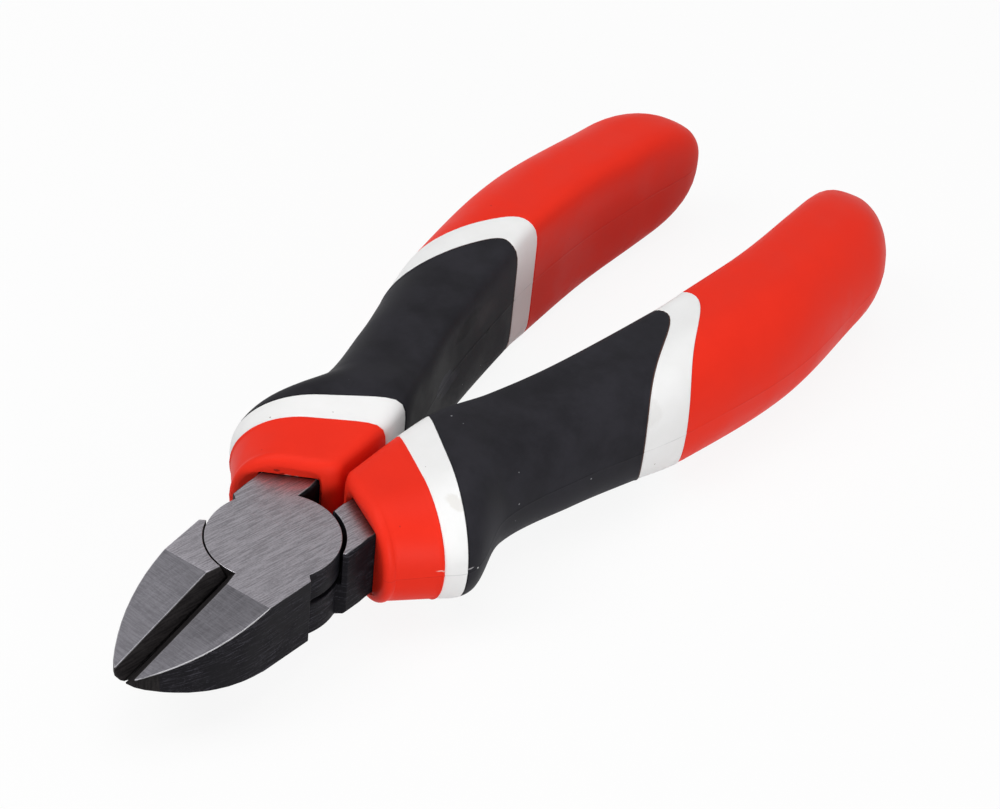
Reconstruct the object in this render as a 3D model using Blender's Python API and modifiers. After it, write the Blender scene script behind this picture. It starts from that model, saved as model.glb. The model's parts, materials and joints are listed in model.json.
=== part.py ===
"""Diagonal cutting pliers, closed and lying flat.

Two lap-jointed steel halves turn on a flush rivet. Each half's tang carries a hard white sleeve,
which shows as two bands, and three soft mouldings over it: a red collar with a finger guard, a
black grip and a red rear grip. Metres, +Z up. The pivot axis is Z, the jaws point to -Y, and
z = 0 is the underside of the head.
"""

import math
from bisect import bisect_right

import bmesh
import bpy
from mathutils import Matrix

MM = 0.001

# Head: discs, jaws and the fits between the two halves
HEAD_THICKNESS = 10.25 * MM
MID = HEAD_THICKNESS / 2
DISC_RADIUS = 8.95 * MM
LAP_GAP = 0.3 * MM            # between the two discs, at mid height
JAW_CLEARANCE = 0.22 * MM     # radial, from a disc to the other half's jaw
SHOULDER_CLEARANCE = 0.6 * MM  # radial, from a disc to the other half's tang
JAW_LENGTH = 28.6 * MM        # pivot axis to jaw tip
JAW_BELLY = (7.96 * MM, -20.6 * MM)  # where the two side tangents of a jaw meet
JAW_SIDE_RADIUS = 29.5 * MM
JAW_TIP_WIDTH = 1.73 * MM     # of one jaw, before its corner is rounded
JAW_TIP_RADIUS = 2.0 * MM
HEEL_STEP = 1.16 * MM         # the jaw's heel stands this far outside the disc
HEEL_ANGLE = math.radians(-22.1)
HEEL_SLANT = math.radians(145)
FACET_START = 11.2 * MM       # pivot axis to the line where the ground top facets begin
UNDERSIDE_START = 9.8 * MM    # pivot axis to where the jaws' underside curves up
TIP_RISE = 1.0 * MM           # top of the jaw tip above mid height
TIP_DROP = 0.3 * MM           # bottom of the jaw tip below mid height
EDGE_GAP = 0.15 * MM          # from a cutting edge to the middle plane
EDGE_DEPTH = 1.55 * MM        # cutting edges below the facets
EDGE_BEVEL = math.radians(45)
EDGE_RELIEF = math.radians(3)

# Rivet
RIVET_RADIUS = 2.5 * MM
RIVET_HEAD_RADIUS = 3.6 * MM
RIVET_HEAD_HEIGHT = 1.1 * MM
RIVET_CLEARANCE = 0.05 * MM

# Tang, as pairs of plan points on its inner and outer side, with half its thickness.
# The first three pairs are the shoulder beside the disc, and the third lies in the collar's mouth.
SHOULDER_STEP = 1.37 * MM     # the shoulder's outer corner stands this far outside the disc
SHOULDER_ANGLE = math.radians(19.1)
SHOULDER_ROOT = (3.5 * MM, -0.5 * MM)
TANG_INNER_ANGLE = math.radians(75.1)
TANG_MOUTH = ((2.8 * MM, 12.95 * MM), (9.95 * MM, 8.85 * MM))
GRIP_END = 130.0 * MM         # pivot axis to the end of the grip
TANG_MARGIN = 26.0 * MM       # the tang ends this far before the end of the grip
TANG_TAPER = 22.0 * MM        # length of its last, straight stretch
TANG_BEND = GRIP_END - TANG_MARGIN - TANG_TAPER
TANG_STATIONS = (
    ((4.8 * MM, 18.4 * MM), (11.4 * MM, 14.2 * MM), 4.4 * MM),
    ((7.2 * MM, 29.0 * MM), (13.2 * MM, 25.0 * MM), 3.4 * MM),
    ((12.8 * MM, 56.0 * MM), (18.4 * MM, 54.0 * MM), 3.0 * MM),
    ((18.1 * MM, TANG_BEND), (23.1 * MM, TANG_BEND), 2.7 * MM),
    ((18.4 * MM, TANG_BEND + TANG_TAPER), (22.8 * MM, TANG_BEND + TANG_TAPER), 2.4 * MM),
)
TANG_CHAMFER = 0.4 * MM

# Grip, as pairs of plan points on its inner and outer edge, with its height above and below mid height
# and the crest, how far the colour lines bow towards the end of the grip near the inner edge.
COLLAR_LIP = 2.98 * MM        # the collar's mouth stands this far above the head
COLLAR_CHIN = 2.3 * MM        # and this far below it
DOME_LENGTH = 16.9 * MM       # round end of the grip
DOME_POWER = 2.44
DOME_DRIFT = 4.55 * MM        # the end of the dome lies this far towards the other grip
DOME_START = GRIP_END - DOME_LENGTH
BAND_INNER = 79.0 * MM        # pivot axis to the end of the rear band, on the inner edge
BAND_OUTER = 60.9 * MM        # and on the outer edge
GRIP_STATIONS = (
    # behind the mouth
    ((0.4 * MM, 14.2 * MM), (13.55 * MM, 7.8 * MM), MID + COLLAR_LIP, MID + COLLAR_CHIN, 0.0),
    # front band starts, front band ends
    ((0.75 * MM, 25.0 * MM), (18.4 * MM, 13.2 * MM), 8.8 * MM, 9.2 * MM, 0.0),
    ((1.65 * MM, 30.6 * MM), (20.4 * MM, 15.6 * MM), 9.7 * MM, 9.95 * MM, 0.0),
    # finger guard, waist, soft grip
    ((2.65 * MM, 34.0 * MM), (20.6 * MM, 18.6 * MM), 9.95 * MM, 10.15 * MM, 0.4 * MM),
    ((4.8 * MM, 40.5 * MM), (17.75 * MM, 28.5 * MM), 9.25 * MM, 9.25 * MM, 1.2 * MM),
    ((8.1 * MM, 52.0 * MM), (20.6 * MM, 42.5 * MM), 9.6 * MM, 9.6 * MM, 3.4 * MM),
    # rear band starts, rear band ends
    ((11.6 * MM, 72.6 * MM), (24.05 * MM, 53.0 * MM), 10.35 * MM, 10.35 * MM, 5.2 * MM),
    ((12.4 * MM, BAND_INNER), (26.35 * MM, BAND_OUTER), 11.0 * MM, 11.0 * MM, 4.6 * MM),
    # belly, dome starts
    ((13.2 * MM, (BAND_INNER + DOME_START) / 2), (30.8 * MM, (BAND_OUTER + DOME_START) / 2),
     11.1 * MM, 11.1 * MM, 2.2 * MM),
    ((12.15 * MM, DOME_START), (29.0 * MM, DOME_START), 10.5 * MM, 10.5 * MM, 0.0),
)
FRONT_BAND, FRONT_BAND_END = 1, 2
REAR_BAND, REAR_BAND_END, _, TAIL = range(6, 10)
BOW_RISE = 2.0                # the bow's shape from the inner edge to its crest
BOW_FALL = 3.7                # and from its crest to the outer edge
MOUTH_ROUND = 1.6 * MM
MOUTH_EDGE = 0.1              # where that rounding ends, as a share of the way to the front band
CORE_START = 0.55             # share of the way from the mouth to the front band
INNER_POWER = 6.5             # squareness of the section towards the other grip
TAIL_POWER = 5.0              # the same where the dome starts
END_POWER = 2.4               # and at the end of the dome
OUTER_POWER = 2.05
COVER_THICKNESS = 1.5 * MM    # of the soft mouldings over the sleeve
MOULD_GAP = 0.3 * MM          # between neighbouring mouldings, and round the tang

# Facets
CORNER_POINTS = 7             # points in a quarter of a grip section
DISC_SEGMENTS = 96
RIVET_SEGMENTS = 48
UNDERSIDE_STEPS = 8
MOUTH_STEPS = 3
DOME_RINGS = 6
DOME_FLAT = 0.4               # of a ring's step, left flat at the end of the dome
ARC_STEP = math.radians(4)
SHARP_ANGLE = math.radians(30)
WELD = 0.001 * MM

FACET_SLOPE = (MID - TIP_RISE) / (JAW_LENGTH - FACET_START)
INSIDE = DISC_RADIUS / 2      # a jaw's outline runs on this far inside its disc
OVERRUN = 2 * MM              # cutters reach this far past what they cut
REACH = 60 * MM               # size of cutters that take off everything on one side


def clear_scene():
    for old in list(bpy.data.objects):
        bpy.data.objects.remove(old, do_unlink=True)


def collection(name):
    group = bpy.data.collections.new(name)
    bpy.context.scene.collection.children.link(group)
    return group


def finish(name, colour, roughness, metallic):
    material = bpy.data.materials.new(name)
    material.use_nodes = True
    shader = material.node_tree.nodes["Principled BSDF"]
    shader.inputs["Base Color"].default_value = (*colour, 1)
    shader.inputs["Roughness"].default_value = roughness
    shader.inputs["Metallic"].default_value = metallic
    return material


def polar(radius, angle):
    return radius * math.cos(angle), radius * math.sin(angle)


def object_of(shape, name, group):
    """A new object that holds a finished bmesh."""
    mesh = bpy.data.meshes.new(name)
    shape.to_mesh(mesh)
    shape.free()
    made = bpy.data.objects.new(name, mesh)
    group.objects.link(made)
    return made


def rounded(corners):
    """An outline through (x, y, radius) corners, with an arc at each corner that has a radius."""
    outline = []
    for i, (x, y, radius) in enumerate(corners):
        before = corners[i - 1]
        after = corners[(i + 1) % len(corners)]
        a = math.atan2(before[1] - y, before[0] - x)
        b = math.atan2(after[1] - y, after[0] - x)
        turn = math.pi - abs((b - a + math.pi) % math.tau - math.pi)
        if radius == 0 or turn == 0:
            outline.append((x, y))
            continue
        reach = radius * math.tan(turn / 2)
        start = (x + reach * math.cos(a), y + reach * math.sin(a))
        side = math.copysign(1, math.sin(b - a))
        centre = (start[0] - side * radius * math.sin(a), start[1] + side * radius * math.cos(a))
        first = math.atan2(start[1] - centre[1], start[0] - centre[0])
        steps = max(2, math.ceil(turn / ARC_STEP))
        for k in range(steps + 1):
            dx, dy = polar(radius, first - side * turn * k / steps)
            outline.append((centre[0] + dx, centre[1] + dy))
    return outline


def plate(name, outline, low, high, group, turn=Matrix()):
    """A flat outline made thick from low to high along its own Z, and then turned."""
    sheet = bpy.data.curves.new(name, "CURVE")
    sheet.dimensions = "2D"
    sheet.fill_mode = "BOTH"
    sheet.extrude = (high - low) / 2
    spline = sheet.splines.new("POLY")
    spline.points.add(len(outline) - 1)
    spline.use_cyclic_u = True
    for point, (x, y) in zip(spline.points, outline):
        point.co = (x, y, 0, 1)
    drawn = bpy.data.objects.new(name + "_outline", sheet)
    group.objects.link(drawn)
    solid = bmesh.new()
    graph = bpy.context.evaluated_depsgraph_get()
    flat = bpy.data.meshes.new_from_object(drawn.evaluated_get(graph))
    solid.from_mesh(flat)
    bmesh.ops.remove_doubles(solid, verts=solid.verts, dist=WELD)
    bmesh.ops.translate(solid, verts=solid.verts, vec=(0, 0, (low + high) / 2))
    bmesh.ops.transform(solid, verts=solid.verts, matrix=turn)
    bmesh.ops.recalc_face_normals(solid, faces=solid.faces)
    bpy.data.objects.remove(drawn)
    bpy.data.meshes.remove(flat)
    bpy.data.curves.remove(sheet)
    return object_of(solid, name, group)


def cylinder(name, radius, low, high, group):
    shape = bmesh.new()
    place = Matrix.Translation((0, 0, (low + high) / 2))
    bmesh.ops.create_cone(shape, cap_ends=True, segments=DISC_SEGMENTS, radius1=radius,
                          radius2=radius, depth=high - low, matrix=place)
    return object_of(shape, name, group)


def lathe(name, profile, group):
    """A profile of (radius, z) points, from top to bottom, turned about the pivot axis."""
    line = bmesh.new()
    points = [line.verts.new((radius, 0, z)) for radius, z in profile]
    for upper, lower in zip(points, points[1:]):
        line.edges.new((upper, lower))
    turned = object_of(line, name, group)
    screw = turned.modifiers.new("turn", "SCREW")
    screw.steps = RIVET_SEGMENTS
    screw.render_steps = RIVET_SEGMENTS
    screw.use_merge_vertices = True
    screw.merge_threshold = WELD
    screw.use_smooth_shade = False
    return turned


def loft(name, rings, group, tube=False):
    """A skin over rings of equal count, closed by end caps, or joined end to end as a tube."""
    shape = bmesh.new()
    loops = [[shape.verts.new(point) for point in ring] for ring in rings]
    pairs = list(zip(loops, loops[1:]))
    if tube:
        pairs.append((loops[-1], loops[0]))
    else:
        shape.faces.new(loops[0])
        shape.faces.new(loops[-1])
    for first, second in pairs:
        for i in range(len(first)):
            shape.faces.new((first[i - 1], first[i], second[i], second[i - 1]))
    skin = [face for face in shape.faces if len(face.verts) == 4]
    bmesh.ops.triangulate(shape, faces=skin, quad_method="SHORT_EDGE")
    bmesh.ops.recalc_face_normals(shape, faces=shape.faces)
    return object_of(shape, name, group)


def combine(target, other, operation):
    joined = target.modifiers.new(other.name, "BOOLEAN")
    joined.operation = operation
    joined.solver = "EXACT"
    joined.object = other


def smooth(keys, values, at):
    """The value at a key, on a smooth curve through the values at rising keys."""
    i = min(max(bisect_right(keys, at) - 1, 0), len(keys) - 2)
    span = keys[i + 1] - keys[i]

    def slope(k):
        low = max(k - 1, 0)
        high = min(k + 1, len(keys) - 1)
        return (values[high] - values[low]) / (keys[high] - keys[low])

    t = (at - keys[i]) / span
    rise = values[i + 1] - values[i]
    start = slope(i) * span
    end = slope(i + 1) * span
    return values[i] + t * (start + t * (3 * rise - 2 * start - end + t * (start + end - 2 * rise)))


class Stations:
    """Pairs of plan points along a lever, with a smooth value of each number between them."""

    def __init__(self, rows):
        self.columns = [[row[k][axis] for row in rows] for k in (0, 1) for axis in (0, 1)]
        self.columns += [[row[k] for row in rows] for k in range(2, len(rows[0]))]
        self.keys = [(row[0][1] + row[1][1]) / 2 for row in rows]

    def at(self, place):
        """Values at a station's number, or part of the way to the next one."""
        i = min(int(place), len(self.keys) - 2)
        key = self.keys[i] + (place - i) * (self.keys[i + 1] - self.keys[i])
        return [smooth(self.keys, column, key) for column in self.columns]


GRIP = Stations(GRIP_STATIONS)


def tang_stations():
    shoulder = polar(DISC_RADIUS + SHOULDER_STEP, SHOULDER_ANGLE)
    beside = polar(DISC_RADIUS + SHOULDER_CLEARANCE, TANG_INNER_ANGLE)
    neck = (TANG_MOUTH[1][0], (shoulder[1] + TANG_MOUTH[1][1]) / 2)
    rows = [(SHOULDER_ROOT, shoulder, MID), (beside, neck, MID), (*TANG_MOUTH, MID)]
    return Stations(rows + list(TANG_STATIONS))


TANG = tang_stations()
TANG_IN_MOUTH = 2 + MOUTH_EDGE
TANG_IN_CORE = 3
TANG_END = 2 + len(TANG_STATIONS)


def side_x(points, side):
    """The same points for the right grip (side 1), or mirrored for the left one (side -1)."""
    return [(side * x, y, z) for x, y, z in points]


def bow(t):
    """How far a colour line bows at a share t of its width, as a share of its crest."""
    peak = BOW_RISE / (BOW_RISE + BOW_FALL)
    return (t / peak) ** BOW_RISE * ((1 - t) / (1 - peak)) ** BOW_FALL


def inner_power(place):
    """Squareness of a section's inner side, which falls off behind the rear band."""
    share = max(0, place - REAR_BAND_END) / (TAIL - REAR_BAND_END)
    return INNER_POWER + share * (TAIL_POWER - INNER_POWER)


def grip_ring(place, side, inset=0.0, gap=0.0, ending=0.0):
    """A section of the grip: a rounded D in height, on a plan line that bows by its crest.

    The inset moves it inwards all round, and the gap moves it along the grip, square to its line.
    The ending is the share of the way along the dome.
    """
    x1, y1, x2, y2, above, below, crest = GRIP.at(place)
    shrink = 1 - 2 * inset / (x2 - x1)
    inner = inner_power(place) + ending * (END_POWER - TAIL_POWER)
    ring = []
    for i in range(4 * CORNER_POINTS):
        run, rise = polar(1, (i + 0.5) * math.pi / (2 * CORNER_POINTS))
        power = OUTER_POWER if run > 0 else inner
        size = (abs(run) ** power + abs(rise) ** power) ** (-1 / power)
        t = (1 + size * run * shrink) / 2
        climb = y2 - y1 + crest * bow(t) * (BOW_RISE / t - BOW_FALL / (1 - t))
        along = gap * math.hypot(1, climb / (x2 - x1))
        y = y1 + t * (y2 - y1) + crest * bow(t) + along
        height = (above if rise > 0 else below) - inset
        ring.append((x1 + t * (x2 - x1), y, MID + size * rise * height))
    return side_x(ring, side)


def tang_ring(place, side, grow=0.0, shift=0.0, points=2):
    """A section of the tang: a rectangle with small rounded corners, grown on all sides."""
    x1, y1, x2, y2, half = TANG.at(place)
    width = math.hypot(x2 - x1, y2 - y1)
    run = ((x2 - x1) / width, (y2 - y1) / width)
    corner = TANG_CHAMFER + grow
    a = width / 2 + grow - corner
    b = half + grow - corner
    ring = []
    for quarter, (u, v) in enumerate(((1, 1), (-1, 1), (-1, -1), (1, -1))):
        for i in range(points):
            du, dv = polar(corner, (quarter + i / (points - 1)) * math.pi / 2)
            across = u * a + du
            x = (x1 + x2) / 2 + across * run[0]
            y = (y1 + y2) / 2 + across * run[1] + shift
            ring.append((x, y, MID + v * b + dv))
    return side_x(ring, side)


def span(start, end, count):
    """Evenly spaced places from start to end, both included."""
    return [start + (end - start) * i / count for i in range(count + 1)]


def dome_rings(side, inset=0.0):
    """Shrinking rings that round off the end of the grip."""
    rings = []
    x1, y1, x2, *_ = GRIP.at(TAIL)
    middle = side * (x1 + x2) / 2
    for k in range(1, DOME_RINGS + 1):
        along = math.sin(k / (DOME_RINGS + DOME_FLAT) * math.pi / 2)
        base = grip_ring(TAIL, side, inset, 0, along)
        size = (1 - along ** DOME_POWER) ** (1 / DOME_POWER)
        centre = middle - side * DOME_DRIFT * along ** 2
        y = y1 + along * (DOME_LENGTH - inset)
        rings.append([(centre + size * (px - middle), y, MID + size * (pz - MID)) for px, _, pz in base])
    return rings


def mouth_rings(side):
    """The rounded front edge of the collar, from its flat mouth to its full section."""
    rings = []
    for k in range(MOUTH_STEPS):
        forward, outward = polar(MOUTH_ROUND, k / MOUTH_STEPS * math.pi / 2)
        rings.append(grip_ring(MOUTH_EDGE, side, MOUTH_ROUND - outward, -forward))
    return rings


def front_collar(name, side, group):
    outside = [grip_ring(place, side) for place in span(MOUTH_EDGE, FRONT_BAND, 4)[:-1]]
    outside.append(grip_ring(FRONT_BAND, side, 0, -MOULD_GAP))
    inside = [grip_ring(FRONT_BAND, side, COVER_THICKNESS, -MOULD_GAP)]
    inside.append(grip_ring(CORE_START, side, COVER_THICKNESS, -MOULD_GAP))
    places = span(TANG_IN_CORE, TANG_IN_MOUTH, 2)
    bore = [tang_ring(place, side, MOULD_GAP, 0, CORNER_POINTS) for place in places]
    bore[0] = tang_ring(TANG_IN_CORE, side, MOULD_GAP, -MOULD_GAP, CORNER_POINTS)
    return loft(name, mouth_rings(side) + outside + inside + bore, group, tube=True)


def grip_core(name, side, group):
    under = COVER_THICKNESS + MOULD_GAP
    places = span(TANG_END, TANG_IN_CORE, 8)
    bore = [tang_ring(place, side, MOULD_GAP, 0, CORNER_POINTS) for place in places]
    bore.insert(0, tang_ring(TANG_END, side, MOULD_GAP, MOULD_GAP, CORNER_POINTS))
    skin = [grip_ring(CORE_START, side, under), grip_ring(FRONT_BAND, side, under)]
    skin += [grip_ring(place, side) for place in span(FRONT_BAND, FRONT_BAND_END, 2)]
    skin += [grip_ring(place, side, under) for place in span(FRONT_BAND_END, REAR_BAND, 6)]
    skin += [grip_ring(place, side) for place in span(REAR_BAND, REAR_BAND_END, 2)]
    skin += [grip_ring(place, side, under) for place in span(REAR_BAND_END, TAIL, 4)]
    return loft(name, bore + skin + dome_rings(side, under), group)


def soft_grip(name, side, group):
    outside = [grip_ring(place, side) for place in span(FRONT_BAND_END, REAR_BAND, 12)]
    inside = [grip_ring(place, side, COVER_THICKNESS) for place in span(REAR_BAND, FRONT_BAND_END, 6)]
    outside[0] = grip_ring(FRONT_BAND_END, side, 0, MOULD_GAP)
    outside[-1] = grip_ring(REAR_BAND, side, 0, -MOULD_GAP)
    inside[0] = grip_ring(REAR_BAND, side, COVER_THICKNESS, -MOULD_GAP)
    inside[-1] = grip_ring(FRONT_BAND_END, side, COVER_THICKNESS, MOULD_GAP)
    return loft(name, outside + inside, group, tube=True)


def rear_grip(name, side, group):
    inside = dome_rings(side, COVER_THICKNESS)[::-1]
    inside += [grip_ring(place, side, COVER_THICKNESS) for place in span(TAIL, REAR_BAND_END, 4)[:-1]]
    inside.append(grip_ring(REAR_BAND_END, side, COVER_THICKNESS, MOULD_GAP))
    outside = [grip_ring(REAR_BAND_END, side, 0, MOULD_GAP)]
    outside += [grip_ring(place, side) for place in span(REAR_BAND_END, TAIL, 8)[1:]]
    return loft(name, inside + outside + dome_rings(side), group)


def rivet_profile(clearance, overrun):
    shank = RIVET_RADIUS + clearance
    head = RIVET_HEAD_RADIUS + clearance
    top = HEAD_THICKNESS - RIVET_HEAD_HEIGHT
    ends = [(head, HEAD_THICKNESS + overrun)] if overrun else []
    last = [(head, -overrun)] if overrun else []
    return ([(0, HEAD_THICKNESS + overrun)] + ends
            + [(head, HEAD_THICKNESS), (shank, top), (shank, RIVET_HEAD_HEIGHT), (head, 0)]
            + last + [(0, -overrun)])


def jaw_outline(side):
    heel = polar(DISC_RADIUS + HEEL_STEP, HEEL_ANGLE)
    root = polar(INSIDE, HEEL_SLANT)
    corners = [
        (EDGE_GAP, -JAW_LENGTH, 0),
        (JAW_TIP_WIDTH, -JAW_LENGTH, JAW_TIP_RADIUS),
        (*JAW_BELLY, JAW_SIDE_RADIUS),
        (*heel, 0),
        (heel[0] + root[0], heel[1] + root[1], 0),
        (EDGE_GAP, -INSIDE, 0),
    ]
    return [(side * x, y) for x, y in rounded(corners)]


def facet_cutter(group):
    """Everything above the ground top facets of the jaws."""
    shape = bmesh.new()
    tilt = Matrix.Rotation(math.atan(FACET_SLOPE), 4, "X")
    start = Matrix.Translation((0, -FACET_START, HEAD_THICKNESS))
    lift = Matrix.Translation((0, 0, REACH / 2))
    bmesh.ops.create_cube(shape, size=REACH, matrix=start @ tilt @ lift)
    return object_of(shape, "above_facets", group)


def underside_cutter(group):
    """Everything below the arc that thins the jaws towards their tip."""
    length = JAW_LENGTH - UNDERSIDE_START
    rise = MID - TIP_DROP
    radius = (length ** 2 + rise ** 2) / (2 * rise)
    outline = [(OVERRUN - UNDERSIDE_START, -OVERRUN / 2)]
    for k in range(1, UNDERSIDE_STEPS + 1):
        run = (length + OVERRUN) * k / UNDERSIDE_STEPS
        outline.append((-UNDERSIDE_START - run, radius - math.sqrt(radius ** 2 - run ** 2)))
    outline.append((-JAW_LENGTH - OVERRUN, -OVERRUN / 2))
    turn = Matrix(((0, 0, 1, 0), (1, 0, 0, 0), (0, 1, 0, 0), (0, 0, 0, 1)))
    return plate("below_jaws", outline, -REACH, REACH, group, turn)


def edge_cutter(side, group):
    """What the bevel above a cutting edge and the relief below it take off one jaw."""
    edge = HEAD_THICKNESS - EDGE_DEPTH
    top = edge + HEAD_THICKNESS
    bottom = edge - 2 * HEAD_THICKNESS
    outline = [
        (EDGE_GAP, edge),
        (EDGE_GAP + (top - edge) / math.tan(EDGE_BEVEL), top),
        (-HEAD_THICKNESS, top),
        (-HEAD_THICKNESS, bottom),
        (EDGE_GAP + (edge - bottom) * math.tan(EDGE_RELIEF), bottom),
    ]
    outline = [(side * x, z) for x, z in outline]
    stand = Matrix.Rotation(math.pi / 2, 4, "X")
    cutter = plate(f"edge_{side}", outline, INSIDE, JAW_LENGTH + OVERRUN, group, stand)
    for vertex in cutter.data.vertices:
        vertex.co.z += FACET_SLOPE * (vertex.co.y + FACET_START)
    return cutter


def half(name, side, upper, group, cutters):
    """One lever. side is the side of its jaw, and its tang is on the other side."""
    lap_low = MID + LAP_GAP / 2 if upper else 0
    lap_high = HEAD_THICKNESS if upper else MID - LAP_GAP / 2
    cut_low = -REACH if upper else MID - LAP_GAP / 2
    cut_high = MID + LAP_GAP / 2 if upper else HEAD_THICKNESS + REACH

    lever = plate(name, jaw_outline(side), 0, HEAD_THICKNESS, group)
    disc = cylinder(f"{name}_disc", DISC_RADIUS, lap_low, lap_high, cutters)
    jaw_room = cylinder(f"{name}_jaw_room", DISC_RADIUS + JAW_CLEARANCE, cut_low, cut_high, cutters)
    tang_room = cylinder(f"{name}_tang_room", DISC_RADIUS + SHOULDER_CLEARANCE, cut_low, cut_high, cutters)
    bore = lathe(f"{name}_bore", rivet_profile(RIVET_CLEARANCE, OVERRUN), cutters)

    places = span(0, TANG_IN_CORE, 6) + span(TANG_IN_CORE, TANG_END, 8)[1:]
    tang = loft(f"{name}_tang", [tang_ring(place, -side) for place in places], cutters)
    combine(tang, tang_room, "DIFFERENCE")

    combine(lever, facet_cutter(cutters), "DIFFERENCE")
    combine(lever, underside_cutter(cutters), "DIFFERENCE")
    combine(lever, edge_cutter(side, cutters), "DIFFERENCE")
    combine(lever, jaw_room, "DIFFERENCE")
    combine(lever, disc, "UNION")
    combine(lever, tang, "UNION")
    combine(lever, bore, "DIFFERENCE")
    return lever


def dress(made, material, pivot=None):
    made.data.materials.append(material)
    made.data.shade_smooth()
    made.data.set_sharp_from_angle(angle=SHARP_ANGLE)
    made.parent = pivot


def build():
    clear_scene()
    parts = collection("diagonal_cutting_pliers")
    cutters = collection("cutters")

    steel = finish("ground_steel", (0.27, 0.26, 0.29), 0.38, 1.0)
    red = finish("red_grip", (0.78, 0.045, 0.025), 0.5, 0.0)
    white = finish("white_sleeve", (0.86, 0.86, 0.86), 0.45, 0.0)
    black = finish("black_soft_grip", (0.022, 0.021, 0.025), 0.6, 0.0)

    opening = bpy.data.objects.new("opening_half", None)
    parts.objects.link(opening)

    dress(half("upper_half", 1, True, parts, cutters), steel, opening)
    dress(half("lower_half", -1, False, parts, cutters), steel)
    dress(lathe("pivot_rivet", rivet_profile(0, 0), parts), steel)
    for side, word, pivot in ((1, "right", None), (-1, "left", opening)):
        dress(grip_core(f"{word}_grip_core", side, parts), white, pivot)
        dress(front_collar(f"{word}_front_collar", side, parts), red, pivot)
        dress(soft_grip(f"{word}_soft_grip", side, parts), black, pivot)
        dress(rear_grip(f"{word}_rear_grip", side, parts), red, pivot)

    for cutter in cutters.objects:
        cutter.hide_render = True
        cutter.display_type = "WIRE"


build()
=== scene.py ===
import json
import math
from bisect import bisect_right

import bmesh
import bpy
from mathutils import Matrix, Vector

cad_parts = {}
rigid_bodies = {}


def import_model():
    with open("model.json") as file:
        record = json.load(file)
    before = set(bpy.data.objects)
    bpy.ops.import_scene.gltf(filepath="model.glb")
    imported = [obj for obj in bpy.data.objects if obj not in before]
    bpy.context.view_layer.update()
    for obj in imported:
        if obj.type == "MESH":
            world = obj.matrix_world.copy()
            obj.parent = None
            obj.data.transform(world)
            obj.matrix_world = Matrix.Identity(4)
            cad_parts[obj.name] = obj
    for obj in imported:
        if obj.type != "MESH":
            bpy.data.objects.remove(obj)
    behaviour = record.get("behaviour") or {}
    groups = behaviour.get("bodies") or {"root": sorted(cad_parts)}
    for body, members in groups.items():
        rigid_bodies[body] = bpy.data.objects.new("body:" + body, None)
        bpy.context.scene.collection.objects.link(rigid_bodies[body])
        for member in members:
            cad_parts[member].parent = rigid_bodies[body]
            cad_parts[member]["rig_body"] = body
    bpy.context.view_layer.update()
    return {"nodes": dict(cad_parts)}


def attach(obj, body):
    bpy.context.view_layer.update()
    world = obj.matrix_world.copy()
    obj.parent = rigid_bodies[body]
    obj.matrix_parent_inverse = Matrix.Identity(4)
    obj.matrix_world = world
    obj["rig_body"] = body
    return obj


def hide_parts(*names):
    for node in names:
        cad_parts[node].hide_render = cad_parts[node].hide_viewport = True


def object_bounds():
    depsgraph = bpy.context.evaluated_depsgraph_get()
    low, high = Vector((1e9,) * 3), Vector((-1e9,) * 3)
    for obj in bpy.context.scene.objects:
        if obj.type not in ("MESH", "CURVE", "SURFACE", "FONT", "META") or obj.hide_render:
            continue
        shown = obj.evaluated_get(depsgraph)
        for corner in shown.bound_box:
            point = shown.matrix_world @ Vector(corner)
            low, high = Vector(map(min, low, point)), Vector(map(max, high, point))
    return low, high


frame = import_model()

mm = 0.001
midHeight = 5.125 * mm  # half the head's thickness, where the two mould halves meet
headTop = 10.25 * mm
print("frame loaded:", len(frame["nodes"]), "nodes")


# small helpers for node trees

def putNode(tree, kind, values=None, **settings):
    node = tree.nodes.new(kind)
    for key, value in settings.items():
        setattr(node, key, value)
    for key, value in (values or {}).items():
        if isinstance(value, bpy.types.NodeSocket):
            tree.links.new(value, node.inputs[key])
        else:
            node.inputs[key].default_value = value
    return node


def math1(tree, operation, a, b=0.0, c=0.0):
    node = putNode(tree, "ShaderNodeMath", {0: a, 1: b, 2: c}, operation=operation)
    return node.outputs[0]


def spread(tree, value, low, high, newLow=0.0, newHigh=1.0):  # soft step from low to high
    node = putNode(tree, "ShaderNodeMapRange", {"Value": value, "From Min": low, "From Max": high,
                                                "To Min": newLow, "To Max": newHigh},
                   interpolation_type="SMOOTHSTEP")
    return node.outputs[0]


def mixColour(tree, share, a, b, blend="MIX"):
    node = putNode(tree, "ShaderNodeMix", data_type="RGBA", blend_type=blend)
    for socket, value in ((node.inputs["Factor"], share), (node.inputs[6], a), (node.inputs[7], b)):
        if isinstance(value, bpy.types.NodeSocket):
            tree.links.new(value, socket)
        else:
            socket.default_value = value
    return node.outputs[2]


def newGroup(name, inputs, outputs):
    group = bpy.data.node_groups.new(name, "ShaderNodeTree")
    for title, kind, value in inputs:
        socket = group.interface.new_socket(title, in_out="INPUT", socket_type=kind)
        if value is not None:
            socket.default_value = value
    for title, kind in outputs:
        group.interface.new_socket(title, in_out="OUTPUT", socket_type=kind)
    return group, putNode(group, "NodeGroupInput").outputs, putNode(group, "NodeGroupOutput")


def useGroup(tree, group, values):
    return putNode(tree, "ShaderNodeGroup", values, node_tree=group).outputs


# shared surface effects

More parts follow.
